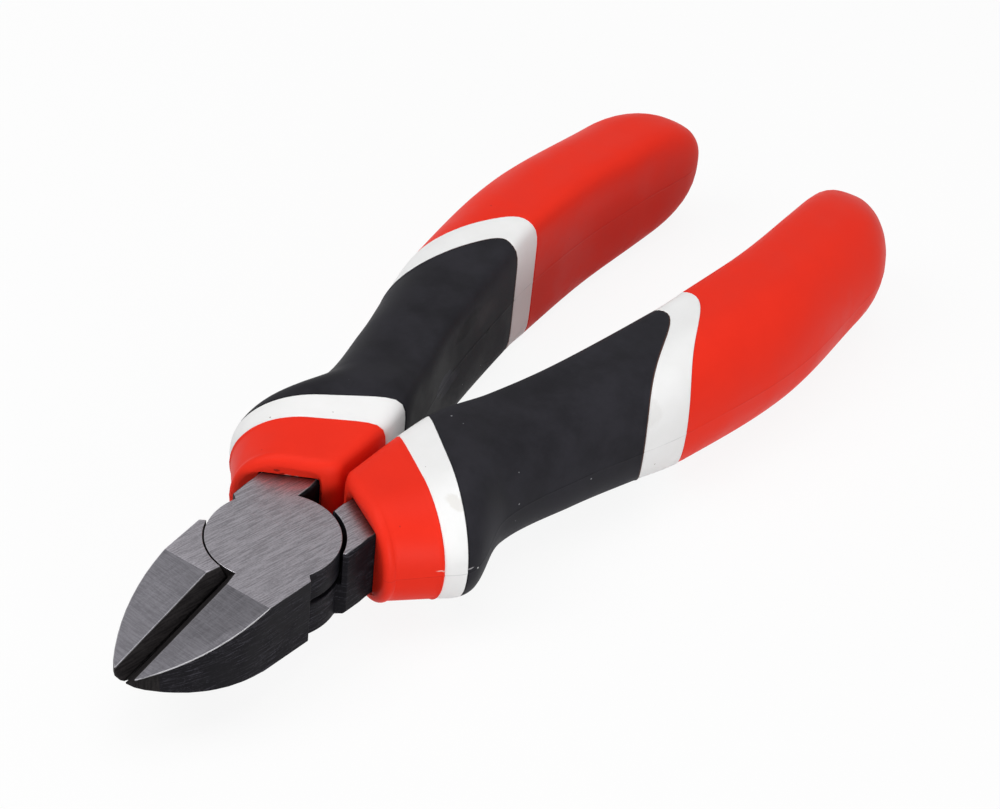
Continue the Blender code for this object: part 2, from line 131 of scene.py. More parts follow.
def makeGrain():  # fine moulded or forged grain, and slow tone changes
    group, given, result = newGroup(
        "surfaceGrain",
        [("Vector", "NodeSocketVector", None), ("Fine", "NodeSocketFloat", 9000.0),
         ("Broad", "NodeSocketFloat", 120.0)],
        [("Height", "NodeSocketFloat"), ("Tone", "NodeSocketFloat")])
    fine = putNode(group, "ShaderNodeTexNoise", {"Vector": given["Vector"], "Scale": given["Fine"],
                                                 "Detail": 3.0, "Roughness": 0.6})
    broad = putNode(group, "ShaderNodeTexNoise", {"Vector": given["Vector"], "Scale": given["Broad"],
                                                  "Detail": 5.0, "Roughness": 0.62})
    group.links.new(fine.outputs["Fac"], result.inputs["Height"])
    group.links.new(spread(group, broad.outputs["Fac"], 0.3, 0.7), result.inputs["Tone"])
    return group


def makeSeam():  # the line where the two mould halves meet, broken up along its length
    group, given, result = newGroup(
        "mouldSeam",
        [("Vector", "NodeSocketVector", None), ("Width", "NodeSocketFloat", 0.1 * mm)],
        [("Mask", "NodeSocketFloat")])
    parts = putNode(group, "ShaderNodeSeparateXYZ", {"Vector": given["Vector"]})
    away = math1(group, "ABSOLUTE", math1(group, "SUBTRACT", parts.outputs["Z"], midHeight))
    line = math1(group, "SUBTRACT", 1.0, math1(group, "DIVIDE", away, given["Width"]))
    breaks = putNode(group, "ShaderNodeTexNoise", {"Vector": given["Vector"], "Scale": 260.0, "Detail": 2.0})
    some = spread(group, breaks.outputs["Fac"], 0.32, 0.6, 0.25, 1.0)
    mask = math1(group, "MULTIPLY", math1(group, "MAXIMUM", line, 0.0), some)
    group.links.new(mask, result.inputs["Mask"])
    return group


def makeSpecks():  # scattered dust or dirt points
    group, given, result = newGroup(
        "fineSpecks",
        [("Vector", "NodeSocketVector", None), ("Scale", "NodeSocketFloat", 900.0),
         ("Size", "NodeSocketFloat", 0.16), ("Amount", "NodeSocketFloat", 0.5)],
        [("Mask", "NodeSocketFloat")])
    cells = putNode(group, "ShaderNodeTexVoronoi", {"Vector": given["Vector"], "Scale": given["Scale"]})
    parts = putNode(group, "ShaderNodeSeparateColor", {"Color": cells.outputs["Color"]})
    chosen = math1(group, "LESS_THAN", parts.outputs[0], given["Amount"])
    reach = math1(group, "MULTIPLY", given["Size"], parts.outputs[1])
    spot = spread(group, math1(group, "SUBTRACT", reach, cells.outputs["Distance"]), 0.0, 0.05)
    group.links.new(math1(group, "MULTIPLY", spot, chosen), result.inputs["Mask"])
    return group


def makeBrush():  # grinding lines, stretched along the mapped X axis
    group, given, result = newGroup(
        "grindingLines",
        [("Vector", "NodeSocketVector", None), ("Angle", "NodeSocketFloat", 0.0)],
        [("Lines", "NodeSocketFloat"), ("Height", "NodeSocketFloat")])
    turn = putNode(group, "ShaderNodeVectorRotate", {"Vector": given["Vector"], "Angle": given["Angle"]},
                   rotation_type="Z_AXIS")
    both = 0.0
    for along, across, share in ((420.0, 7200.0, 0.55), (130.0, 2400.0, 0.2), (3200.0, 5200.0, 0.25)):
        sized = putNode(group, "ShaderNodeMapping", {"Vector": turn.outputs[0],
                                                     "Scale": (along, across, along)})
        noise = putNode(group, "ShaderNodeTexNoise", {"Vector": sized.outputs[0], "Scale": 1.0, "Detail": 2.0})
        both = math1(group, "MULTIPLY_ADD", noise.outputs["Fac"], share, both)
    group.links.new(spread(group, both, 0.38, 0.62), result.inputs["Lines"])
    group.links.new(both, result.inputs["Height"])
    return group


def makeMark():  # one spot with a ragged edge at a given place
    group, given, result = newGroup(
        "localMark",
        [("Vector", "NodeSocketVector", None), ("Centre", "NodeSocketVector", None),
         ("Size", "NodeSocketVector", None)],
        [("Mask", "NodeSocketFloat")])
    off = putNode(group, "ShaderNodeVectorMath", {0: given["Vector"], 1: given["Centre"]}, operation="SUBTRACT")
    scaled = putNode(group, "ShaderNodeVectorMath", {0: off.outputs[0], 1: given["Size"]}, operation="DIVIDE")
    away = putNode(group, "ShaderNodeVectorMath", {0: scaled.outputs[0]}, operation="LENGTH").outputs["Value"]
    torn = putNode(group, "ShaderNodeTexNoise", {"Vector": scaled.outputs[0], "Scale": 1.7, "Detail": 4.0,
                                                 "Roughness": 0.65})
    edge = math1(group, "MULTIPLY_ADD", torn.outputs["Fac"], 0.9, away)
    group.links.new(math1(group, "SUBTRACT", 1.0, spread(group, edge, 1.0, 1.4)), result.inputs["Mask"])
    return group


grain, seam, specks, brush, mark = makeGrain(), makeSeam(), makeSpecks(), makeBrush(), makeMark()


def newMaterial(name):
    material = bpy.data.materials.new(name)
    material.use_nodes = True
    tree = material.node_tree
    shader = tree.nodes["Principled BSDF"]
    place = putNode(tree, "ShaderNodeTexCoord").outputs["Object"]
    return material, tree, shader, place


def bumpInto(tree, shader, height, strength, distance):
    bump = putNode(tree, "ShaderNodeBump", {"Height": height, "Strength": strength, "Distance": distance})
    tree.links.new(bump.outputs[0], shader.inputs["Normal"])


# moulded plastics: one recipe, three finishes

plasticFinishes = {  # a mark has a centre and a size in millimetres, a colour and a strength
    "redGrip": {
        "colour": (0.83, 0.03, 0.013, 1), "deep": (0.8, 0.0275, 0.012, 1), "seam": (0.62, 0.022, 0.013, 1),
        "speck": (0.55, 0.02, 0.015, 1), "speckAmount": 0.03, "rough": (0.44, 0.54), "bump": 0.2, "gloss": 0.08,
        "marks": (
            ((18.2, 12.75, 6.0), (0.9, 0.9, 0.14), (0.8, 0.5, 0.46, 1), 0.8),  # flash left on the mould line
            ((-7.81, 10.14, 11.11), (0.7, 0.6, 0.35), (0.1, 0.012, 0.008, 1), 0.7),  # grinding dirt at the mouth
            ((-7.36, 10.87, 10.57), (0.8, 0.8, 0.3), (0.03, 0.006, 0.005, 1), 0.8),
            ((-5.6, 11.7, 10.35), (0.5, 0.5, 0.16), (0.8, 0.72, 0.7, 1), 0.9),
            ((-6.6, 11.0, 10.35), (0.7, 0.6, 0.13), (0.8, 0.5, 0.45, 1), 0.7),
        ),
    },
    "whiteSleeve": {
        "colour": (0.86, 0.86, 0.86, 1), "deep": (0.825, 0.825, 0.82, 1), "seam": (0.5, 0.5, 0.5, 1),
        "speck": (0.3, 0.28, 0.26, 1), "speckAmount": 0.06, "rough": (0.36, 0.46), "bump": 0.08, "gloss": 0.15,
        "marks": (
            ((15.94, 18.26, 13.06), (2.2, 1.2, 1.2), (0.6, 0.57, 0.52, 1), 0.35),  # handling dirt
            ((23.4, 55.6, 10.6), (1.6, 2.4, 2.6), (0.55, 0.52, 0.49, 1), 0.16),
        ),
    },
    "blackGrip": {
        "colour": (0.028, 0.0272, 0.0328, 1), "deep": (0.0175, 0.017, 0.0203, 1),
        "seam": (0.004, 0.004, 0.005, 1),
        "speck": (0.3, 0.3, 0.32, 1), "speckAmount": 0.04, "rough": (0.5, 0.62), "bump": 0.35, "gloss": 0.04,
        "rim": (0.11, 0.05, 0.036, 1),
        "marks": (
            ((-10.13, 63.39, 4.97), (0.6, 1.1, 0.45), (0.001, 0.001, 0.0012, 1), 1.0),  # pit on the mould line
            ((-8.9, 55.0, 10.6), (1.6, 9.0, 2.0), (0.006, 0.0055, 0.007, 1), 0.6),  # painted shade under the ridge
            ((-7.5, 50.0, 3.7), (1.6, 6.0, 1.3), (0.06, 0.06, 0.076, 1), 0.65),  # rubbed streaks, partly a painted bluish sheen
            ((-6.9, 47.6, 5.4), (1.6, 5.0, 1.5), (0.07, 0.07, 0.09, 1), 0.65),
            ((-9.9, 61.8, 9.0), (1.6, 6.0, 2.4), (0.036, 0.029, 0.034, 1), 0.5),
            ((20.36, 16.05, 5.76), (0.6, 0.8, 0.12), (0.5, 0.48, 0.5, 1), 0.8),  # flash and a crumb
            ((20.7, 17.4, 5.15), (0.18, 0.18, 0.18), (0.8, 0.8, 0.8, 1), 0.9),
        ),
    },
}


def makePlastic(name):
    finish = plasticFinishes[name]
    material, tree, shader, place = newMaterial(name)
    skin = useGroup(tree, grain, {"Vector": place, "Fine": 3600.0})
    line = useGroup(tree, seam, {"Vector": place})
    dustAndShade = useGroup(tree, specks, {"Vector": place, "Amount": finish["speckAmount"]})
    colour = mixColour(tree, skin["Tone"], finish["deep"], finish["colour"])
    colour = mixColour(tree, math1(tree, "MULTIPLY", line["Mask"], 0.7), colour, finish["seam"])
    colour = mixColour(tree, math1(tree, "MULTIPLY", dustAndShade["Mask"], 0.8), colour, finish["speck"])
    for centre, size, tint, strength in finish["marks"]:
        spot = useGroup(tree, mark, {"Vector": place, "Centre": Vector(centre) * mm, "Size": Vector(size) * mm})
        colour = mixColour(tree, math1(tree, "MULTIPLY", spot["Mask"], strength), colour, tint)
    if "rim" in finish:
        rim = putNode(tree, "ShaderNodeAttribute", attribute_name="rim").outputs["Fac"]
        colour = mixColour(tree, math1(tree, "MULTIPLY", rim, 0.8), colour, finish["rim"])
    tree.links.new(colour, shader.inputs["Base Color"])
    low, high = finish["rough"]
    tree.links.new(spread(tree, skin["Tone"], 0.0, 1.0, low, high), shader.inputs["Roughness"])
    bumpInto(tree, shader, skin["Height"], finish["bump"], 0.05 * mm)
    shader.inputs["Specular IOR Level"].default_value = finish["gloss"]
    return material


# steel: ground flats and facets, blackened sides, bright edges that are partly worn metal and partly a painted
# highlight

steelFinish = {
    "ground": (0.53, 0.507, 0.553, 1), "groundDark": (0.26, 0.248, 0.271, 1),
    "facet": (0.232, 0.226, 0.248, 1), "facetDark": (0.172, 0.167, 0.185, 1),
    "groove": (0.02, 0.0178, 0.0182, 1), "grooveDark": (0.008, 0.007, 0.0075, 1),
    # painted shade on the ground steel next to the collars' mouths
    "dustAndShade": (0.12, 0.1, 0.1, 1), "shadeWay": (0.498, 0.868), "shadeFrom": 10.3 * mm, "shadeTo": 12.6 * mm,
    "black": (0.0075, 0.007, 0.009, 1), "blackPale": (0.042, 0.04, 0.049, 1),
    # bright edge colour: worn metal, lightened further as a painted highlight
    "edge": (0.72, 0.71, 0.73, 1),
    "pocketShade": ((-2.2, 11.0, 7.0), (3.0, 3.6, 5.0), (0.0015, 0.0014, 0.0018, 1), 0.9),  # painted shade in the pocket beside the tang
    "flatAngle": math.radians(-79), "facetAngle": math.radians(4), "gloss": 0.05,
}


def makeSteel():
    finish = steelFinish
    material, tree, shader, place = newMaterial("groundSteel")
    ground = putNode(tree, "ShaderNodeAttribute", attribute_name="ground").outputs["Fac"]
    facet = putNode(tree, "ShaderNodeAttribute", attribute_name="facet").outputs["Fac"]
    wearAndGlint = putNode(tree, "ShaderNodeAttribute", attribute_name="wearAndGlint").outputs["Fac"]
    groove = putNode(tree, "ShaderNodeAttribute", attribute_name="groove").outputs["Fac"]
    flatLines = useGroup(tree, brush, {"Vector": place, "Angle": finish["flatAngle"]})
    facetLines = useGroup(tree, brush, {"Vector": place, "Angle": finish["facetAngle"]})
    parts = putNode(tree, "ShaderNodeSeparateXYZ", {"Vector": place}).outputs
    upright = putNode(tree, "ShaderNodeCombineXYZ", {"X": parts["Y"], "Y": parts["Z"], "Z": parts["X"]})
    sideLines = useGroup(tree, brush, {"Vector": upright.outputs[0]})  # scratches along the lever on upright faces
    forged = useGroup(tree, grain, {"Vector": place, "Fine": 2600.0, "Broad": 240.0})
    flatColour = mixColour(tree, flatLines["Lines"], finish["groundDark"], finish["ground"])
    facetColour = mixColour(tree, facetLines["Lines"], finish["facetDark"], finish["facet"])
    bright = mixColour(tree, facet, flatColour, facetColour)
    acrossX, acrossY = finish["shadeWay"]  # square to the collars' mouths, where the ground steel is darkened as painted shade
    near = math1(tree, "MULTIPLY_ADD", math1(tree, "ABSOLUTE", parts["X"]), acrossX,
                 math1(tree, "MULTIPLY", parts["Y"], acrossY))
    # painted shade, mottled, on the tangs next to the collars
    dustAndShade = math1(tree, "MULTIPLY", spread(tree, near, finish["shadeFrom"], finish["shadeTo"]),
                 spread(tree, forged["Tone"], 0.0, 1.0, 0.65, 0.95))
    bright = mixColour(tree, dustAndShade, bright, finish["dustAndShade"])
    scuffs = math1(tree, "MULTIPLY", spread(tree, sideLines["Lines"], 0.55, 1.0), forged["Tone"])
    dark = mixColour(tree, scuffs, finish["black"], finish["blackPale"])
    cut = mixColour(tree, flatLines["Lines"], finish["grooveDark"], finish["groove"])
    dark = mixColour(tree, groove, dark, cut)
    # painted shade: the pocket beside the left tang is darkened to near black
    centre, size, tint, strength = finish["pocketShade"]
    paintedShade = useGroup(tree, mark, {"Vector": place, "Centre": Vector(centre) * mm, "Size": Vector(size) * mm})
    dark = mixColour(tree, math1(tree, "MULTIPLY", paintedShade["Mask"], strength), dark, tint)
    colour = mixColour(tree, ground, dark, bright)
    # eased edges lightened: partly wear, partly a painted highlight
    edge = math1(tree, "MULTIPLY", wearAndGlint, spread(tree, forged["Tone"], 0.0, 0.7, 0.45, 1.0))
    colour = mixColour(tree, edge, colour, finish["edge"])
    tree.links.new(colour, shader.inputs["Base Color"])
    metal = math1(tree, "MAXIMUM", ground, edge)
    tree.links.new(metal, shader.inputs["Metallic"])
    flatRough = spread(tree, flatLines["Lines"], 0.0, 1.0, 0.46, 0.34)
    darkRough = spread(tree, forged["Tone"], 0.0, 1.0, 0.42, 0.6)
    rough = putNode(tree, "ShaderNodeMix", {"Factor": ground, "A": darkRough, "B": flatRough}, data_type="FLOAT")
    tree.links.new(rough.outputs[0], shader.inputs["Roughness"])
    lineHeight = putNode(tree, "ShaderNodeMix", {"Factor": facet, "A": flatLines["Height"],
                                                 "B": facetLines["Height"]}, data_type="FLOAT")
    height = putNode(tree, "ShaderNodeMix", {"Factor": ground, "A": forged["Height"],
                                             "B": lineHeight.outputs[0]}, data_type="FLOAT")
    bumpInto(tree, shader, height.outputs[0], 0.25, 0.03 * mm)
    shader.inputs["Specular IOR Level"].default_value = finish["gloss"]
    return material


red, white, black = (makePlastic(name) for name in plasticFinishes)
steel = makeSteel()
print("materials ready")


def finishPiece(bm, name, material, node, smoothAngle=35):
    mesh = bpy.data.meshes.new(name)
    bm.to_mesh(mesh)
    bm.free()
    mesh.materials.append(material)
    mesh.shade_smooth()
    mesh.set_sharp_from_angle(angle=math.radians(smoothAngle))
    piece = bpy.data.objects.new(name, mesh)
    bpy.context.scene.collection.objects.link(piece)
    weighted = piece.modifiers.new("evenShading", "WEIGHTED_NORMAL")
    weighted.keep_sharp = True
    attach(piece, frame["nodes"][node]["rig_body"])
    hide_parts(node)
    print("piece", name, len(mesh.polygons), "faces")
    return piece


# steel halves and rivet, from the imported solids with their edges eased

steelPieces = {"weld": 0.002 * mm, "flatten": math.radians(0.6), "sharp": math.radians(24),
               "collapse": 0.21 * mm, "ease": 0.11 * mm, "shortest": 0.35 * mm, "boreKeep": 4.2 * mm,
               "wearGlintOuter": 0.5, "wearGlintInner": 0.1,
               "grooveWidth": 3.2 * mm, "grooveStart": -8.0 * mm,
               "discRadius": (8.9 * mm, 9.0 * mm), "discFacet": (0.55 * mm, 0.62 * mm),
               "discChamfer": 0.6 * mm}


def solidCopy(node):
    bm = bmesh.new()
    bm.from_mesh(frame["nodes"][node].data)
    bmesh.ops.remove_doubles(bm, verts=bm.verts, dist=steelPieces["weld"])
    bmesh.ops.dissolve_limit(bm, angle_limit=steelPieces["flatten"], verts=bm.verts, edges=bm.edges)
    bmesh.ops.collapse(bm, edges=[edge for edge in bm.edges if edge.calc_length() < steelPieces["collapse"]])
    bmesh.ops.dissolve_degenerate(bm, dist=steelPieces["weld"], edges=bm.edges)
    return bm


def markGround(bm):
    ground = bm.faces.layers.float.new("ground")
    facet = bm.faces.layers.float.new("facet")
    wearAndGlint = bm.faces.layers.float.new("wearAndGlint")
    groove = bm.faces.layers.float.new("groove")
    for face in bm.faces:
        x, y, z = face.calc_center_median()
        flat = abs(face.normal.z) > 0.995 and (z > headTop - 0.05 * mm or z < 0.05 * mm)
        slope = 0.9 < face.normal.z < 0.995 and z > midHeight
        face[ground] = float(flat or slope)
        face[facet] = float(slope)
        inJaw = abs(x) < steelPieces["grooveWidth"] and y < steelPieces["grooveStart"]
        face[groove] = float(inJaw and not (flat or slope))
    return ground, facet, wearAndGlint


def chamferDisc(bm):  # under the upper disc, so that a dark line shows above the lower one
    low, high = steelPieces["discRadius"]
    shortest, longest = steelPieces["discFacet"]
    edges = []
    for edge in bm.edges:
        middle = (edge.verts[0].co + edge.verts[1].co) / 2
        onRim = low < math.hypot(middle.x, middle.y) < high and 0 < middle.z - midHeight < 0.3 * mm
        level = abs(edge.verts[0].co.z - edge.verts[1].co.z) < 0.01 * mm
        if onRim and level and edge.is_convex and shortest < edge.calc_length() < longest:
            edges.append(edge)
    bmesh.ops.bevel(bm, geom=edges, offset=steelPieces["discChamfer"], offset_type="OFFSET", segments=1,
                    profile=0.5, affect="EDGES", material=-1)


def steelHalf(node):
    bm = solidCopy(node)
    chamferDisc(bm)
    ground, facet, wearAndGlint = markGround(bm)
    edges = []
    for edge in bm.edges:
        if len(edge.link_faces) != 2 or edge.calc_length() < steelPieces["shortest"]:
            continue
        middle = (edge.verts[0].co + edge.verts[1].co) / 2
        if math.hypot(middle.x, middle.y) < steelPieces["boreKeep"]:
            continue
        if edge.calc_face_angle() > steelPieces["sharp"]:
            edges.append(edge)
    eased = bmesh.ops.bevel(bm, geom=edges, offset=steelPieces["ease"], offset_type="OFFSET", segments=2,
                            profile=0.5, affect="EDGES", material=-1)
    for face in eased["faces"]:  # rubbed where the edge runs along a ground face, most on the jaw's outer edge; the brightness is partly wear and partly a painted highlight
        sides = [edge for edge in face.edges if edge.calc_length() > steelPieces["shortest"]]
        beside = [other for edge in sides for other in edge.link_faces if other[ground]]
        outer = any(other[facet] for other in beside) and face.normal.x * face.calc_center_median().x > 0
        face[wearAndGlint] = steelPieces["wearGlintOuter"] if outer else steelPieces["wearGlintInner"] if beside else 0.0
    bmesh.ops.remove_doubles(bm, verts=bm.verts, dist=steelPieces["weld"])
    bmesh.ops.dissolve_degenerate(bm, dist=steelPieces["weld"], edges=bm.edges)
    print(node, len(edges), "edges eased")
    return finishPiece(bm, node.replace("_", "-"), steel, node)


def rivet(node):
    bm = solidCopy(node)
    markGround(bm)
    bmesh.ops.scale(bm, verts=bm.verts, vec=(1.0125, 1.0125, 1))
    return finishPiece(bm, "pivot-rivet", steel, node)


steelHalf("upper_half")
steelHalf("lower_half")
rivet("pivot_rivet")


# grips: rings lofted along the lever, split where the colours change

gripShape = {
    "stations": (  # inner point, outer point, heights above and below the mould line, bow; in millimetres
        ((0.4, 14.2), (13.55, 7.8), 8.105, 7.425, 0.0),
        ((0.75, 25.0), (18.4, 13.2), 8.8, 9.2, 0.0),
        ((1.65, 30.6), (20.4, 15.6), 9.7, 9.95, 0.0),
        ((2.65, 34.0), (20.6, 18.6), 9.95, 10.15, 0.4),
        ((4.8, 40.5), (17.75, 28.5), 9.25, 9.25, 1.2),
        ((8.1, 52.0), (20.6, 42.5), 9.6, 9.6, 3.4),
        ((11.9, 72.6), (24.05, 53.5), 10.35, 10.35, 4.9),
        ((12.75, 79.0), (26.35, 61.3), 10.9, 11.0, 4.0),
        ((13.5, 96.05), (30.5, 87.0), 10.75, 11.0, 2.2),
        ((12.75, 113.1), (29.35, 113.1), 10.1, 10.5, 0.0),
    ),
    "bowRise": 2.0, "bowFall": 3.7, "outerPower": 2.05,
    "innerPower": 8.2, "tailPower": 6.0, "endPower": 2.4,  # squareness of the inner side, front to end
    "domeLength": 16.8, "domePower": 2.46, "domeLean": 1.0, "domeDrift": 3.9,
    "cover": 1.5, "coreGap": 0.1, "coreWall": 0.7, "joint": 0.008, "rim": 0.07,
    "mouthRound": 1.6, "mouthEdge": 0.1, "seamRise": 0.04,
    "bore": (  # the hole for the tang, from the mouth inwards: inner point, outer point, half height
        ((2.8, 12.95), (9.95, 8.85), 5.125),
        ((3.8, 15.72), (10.65, 11.48), 4.78),
        ((4.75, 18.1), (11.35, 13.9), 4.45),
    ),
    "boreGap": 0.11, "boreCorner": 0.4,
    "around": 72, "seamAngles": (-0.03, -0.012, 0.0, 0.012, 0.03),
}
mouth, frontBand, frontBandEnd, rearBand, rearBandEnd, tail = 0, 1, 2, 6, 7, 9
coreStart = 0.55
stationRows = [(*inner, *outer, *rest) for inner, outer, *rest in gripShape["stations"]]
stationKeys = [(row[1] + row[3]) / 2 for row in stationRows]
ringAngles = sorted([(i + 0.5) * math.tau / gripShape["around"] for i in range(gripShape["around"])]
                    + [(side + a) % math.tau for side in (0, math.pi) for a in gripShape["seamAngles"]])


def onCurve(column, at):  # smooth curve through one number of the stations
    keys, values = stationKeys, [row[column] for row in stationRows]
    i = min(max(bisect_right(keys, at) - 1, 0), len(keys) - 2)
    step = keys[i + 1] - keys[i]

    def slope(k):
        low, high = max(k - 1, 0), min(k + 1, len(keys) - 1)
        return (values[high] - values[low]) / (keys[high] - keys[low])

    t = (at - keys[i]) / step
    rise, start, end = values[i + 1] - values[i], slope(i) * step, slope(i + 1) * step
    return values[i] + t * (start + t * (3 * rise - 2 * start - end + t * (start + end - 2 * rise)))


def stationAt(place):
    i = min(int(place), len(stationKeys) - 2)
    key = stationKeys[i] + (place - i) * (stationKeys[i + 1] - stationKeys[i])
    return [onCurve(column, key) for column in range(7)]


def seamLift(angle, inset):  # small ridge on the seam, only on the outside
    off = min(abs(angle - base) for base in (0, math.pi, math.tau))
    return 0 if inset > 0.5 else gripShape["seamRise"] * max(0, 1 - off / 0.03)


def squareness(place, ending):
    share = max(0, place - rearBandEnd) / (tail - rearBandEnd)
    front, back, end = (gripShape[key] for key in ("innerPower", "tailPower", "endPower"))
    return front + share * (back - front) + ending * (end - back)


def section(side, place, inset=0.0, shift=0.0, ending=0.0):
    x1, y1, x2, y2, above, below, crest = stationAt(place)
    inner = squareness(place, ending)
    rise, fall = gripShape["bowRise"], gripShape["bowFall"]
    peak = rise / (rise + fall)
    shrink = 1 - 2 * inset / (x2 - x1)
    ring = []
    for angle in ringAngles:
        run, up = math.cos(angle), math.sin(angle)
        power = gripShape["outerPower"] if run > 0 else inner
        size = (abs(run) ** power + abs(up) ** power) ** (-1 / power)
        t = min(max((1 + size * run * shrink) / 2, 1e-4), 1 - 1e-4)
        bow = crest * (t / peak) ** rise * ((1 - t) / (1 - peak)) ** fall
        climb = y2 - y1 + bow * (rise / t - fall / (1 - t))
        y = y1 + t * (y2 - y1) + bow + shift * math.hypot(1, climb / (x2 - x1))
        x = x1 + t * (x2 - x1) + math.copysign(seamLift(angle, inset), run)
        height = (above if up > 0 else below) - inset
        ring.append(Vector((side * x * mm, y * mm, midHeight + size * up * height * mm)))
    return ring


def domeSections(side, inset=0.0, count=14):
    x1, y1, x2 = stationAt(tail)[:3]
    middle = side * (x1 + x2) / 2 * mm
    rings = []
    for k in range(1, count + 1):
        along = math.sin(k / (count + 0.25) * math.pi / 2)
        base = section(side, tail, inset, 0, along)
        size = (1 - along ** gripShape["domePower"]) ** (1 / gripShape["domePower"])
        lean = gripShape["domeLean"] * along + gripShape["domeDrift"] * along ** 2
        centre = middle - side * lean * mm
        y = (y1 + along * (gripShape["domeLength"] - inset)) * mm
        rings.append([Vector((centre + size * (p.x - middle), y, midHeight + size * (p.z - midHeight)))
                      for p in base])
    return rings


def rimSections(side, place, towards):  # rounded edge of a moulding at a colour joint
    rim, joint = gripShape["rim"], gripShape["joint"]
    steps = ((0.0, 3.0), (0.0, 1.0), (0.29, 0.29), (1.0, 0.0))
    return [section(side, place, rim * down, towards * (joint + rim * back)) for down, back in steps]


def boreSections(side):
    gap, corner = gripShape["boreGap"], gripShape["boreCorner"] + gripShape["boreGap"]
    rings = []
    for (x1, y1), (x2, y2), half in gripShape["bore"]:
        width = math.hypot(x2 - x1, y2 - y1)
        ring = []
        for angle in ringAngles:
            run, up = math.cos(angle), math.sin(angle)
            across = (math.copysign(width / 2 + gap - corner, run) + corner * run) / width
            height = math.copysign(half + gap - corner, up) + corner * up
            x, y = (x1 + x2) / 2 + across * (x2 - x1), (y1 + y2) / 2 + across * (y2 - y1)
            ring.append(Vector((side * x * mm, y * mm, midHeight + height * mm)))
        rings.append(ring)
    return rings


def places(start, end, count):
    return [start + (end - start) * i / count for i in range(count + 1)]


def loftPiece(rings, loop, rims=()):  # rims are the numbers of the rings on a stained edge
    bm = bmesh.new()
    number = bm.verts.layers.int.new("number")
    rim = bm.verts.layers.float.new("rim")
    bmesh.ops.create_circle(bm, cap_ends=False, segments=len(rings[0]), radius=mm)
    for i, vert in enumerate(bm.verts):
        vert[number] = i
        vert.co = rings[0][i]
    edges = list(bm.edges)
    ends = [edges]
    for i, ring in enumerate(rings[1:] + (rings[:1] if loop else []), 1):
        grown = bmesh.ops.extrude_edge_only(bm, edges=edges)["geom"]
        fresh = {item for item in grown if isinstance(item, bmesh.types.BMVert)}
        for vert in fresh:
            vert.co = ring[vert[number]]
            vert[rim] = float(i in rims)
        edges = [item for item in grown if isinstance(item, bmesh.types.BMEdge) and set(item.verts) <= fresh]
    if loop:
        bmesh.ops.remove_doubles(bm, verts=bm.verts, dist=1e-7)
    else:
        for end in (ends[0], edges):
            cap = bmesh.ops.contextual_create(bm, geom=end)["faces"]
            bmesh.ops.poke(bm, faces=cap)
    bm.verts.layers.int.remove(number)
    bmesh.ops.recalc_face_normals(bm, faces=bm.faces)
    return bm


def frontCollar(side):
    reach, edge = gripShape["mouthRound"], gripShape["mouthEdge"]
    rings = []
    for k in range(11):
        turn = k / 10 * math.pi / 2
        rings.append(section(side, edge, reach * (1 - math.sin(turn)), -reach * math.cos(turn)))
    rings += [section(side, p) for p in places(edge, frontBand, 14)[1:-1]]
    rings += rimSections(side, frontBand, -1)
    rings.append(section(side, frontBand, gripShape["cover"], -gripShape["joint"]))
    rings += [section(side, p, gripShape["cover"]) for p in (0.8, coreStart)]
    rings.append(section(side, coreStart, gripShape["cover"] + 1.2, -0.3))
    return loftPiece(rings + boreSections(side)[::-1], True)


def softGrip(side):
    rings = rimSections(side, frontBandEnd, 1)[::-1]
    rings += [section(side, p) for p in places(frontBandEnd, rearBand, 60)[1:-1]]
    rims = range(len(rings) + 1, len(rings) + 5)
    rings += rimSections(side, rearBand, -1)
    rings.append(section(side, rearBand, gripShape["cover"], -gripShape["joint"]))
    rings += [section(side, p, gripShape["cover"]) for p in places(rearBand, frontBandEnd, 12)[1:-1]]
    rings.append(section(side, frontBandEnd, gripShape["cover"], gripShape["joint"]))
    return loftPiece(rings, True, rims)


def rearGrip(side):
    rings = domeSections(side, gripShape["cover"], 6)[::-1]
    rings += [section(side, p, gripShape["cover"]) for p in places(tail, rearBandEnd, 10)[:-1]]
    rings.append(section(side, rearBandEnd, gripShape["cover"], gripShape["joint"]))
    rings += rimSections(side, rearBandEnd, 1)[::-1]
    rings += [section(side, p) for p in places(rearBandEnd, tail, 44)[1:]]
    rings += domeSections(side)
    return loftPiece(rings, False)


def bandSections(side, start, end):
    rim = gripShape["rim"]
    rings = [section(side, start, rim), section(side, start, 0, rim)]
    rings += [section(side, p) for p in places(start, end, 8)[1:-1]]
    return rings + [section(side, end, 0, -rim), section(side, end, rim)]


def gripCore(side):
    under = gripShape["cover"] + gripShape["coreGap"]
    inside = under + gripShape["coreWall"]
    rings = domeSections(side, inside, 5)[::-1]
    rings += [section(side, p, inside) for p in places(tail, coreStart, 18)]
    rings += [section(side, coreStart, under), section(side, frontBand, under)]
    rings += bandSections(side, frontBand, frontBandEnd)
    rings += [section(side, p, under) for p in places(frontBandEnd, rearBand, 10)]
    rings += bandSections(side, rearBand, rearBandEnd)
    rings += [section(side, p, under) for p in places(rearBandEnd, tail, 6)]
    rings += domeSections(side, under, 5)
    return loftPiece(rings, False)


for side, word in ((1, "right"), (-1, "left")):
    finishPiece(gripCore(side), f"{word}-grip-core", white, f"{word}_grip_core")
    finishPiece(frontCollar(side), f"{word}-front-collar", red, f"{word}_front_collar")
    finishPiece(softGrip(side), f"{word}-soft-grip", black, f"{word}_soft_grip")
    finishPiece(rearGrip(side), f"{word}-rear-grip", red, f"{word}_rear_grip")


# floor, light and camera

studio = {"floorDrop": 0.05 * mm, "floorSize": 4.0, "floorWhite": 0.9, "floorBounce": 0.6,
          "world": 0.32, "zenith": 0.36,
          "keyPlace": (-0.32, -0.38, 0.62), "keySize": 0.45, "keyPower": 2.5,
          "fillPlace": (0.55, -0.3, 0.12), "fillSize": 0.3, "fillPower": 1.95,
          "topPlace": (0.0, 0.05, 0.9), "topSize": 0.7, "topPower": 2.88}


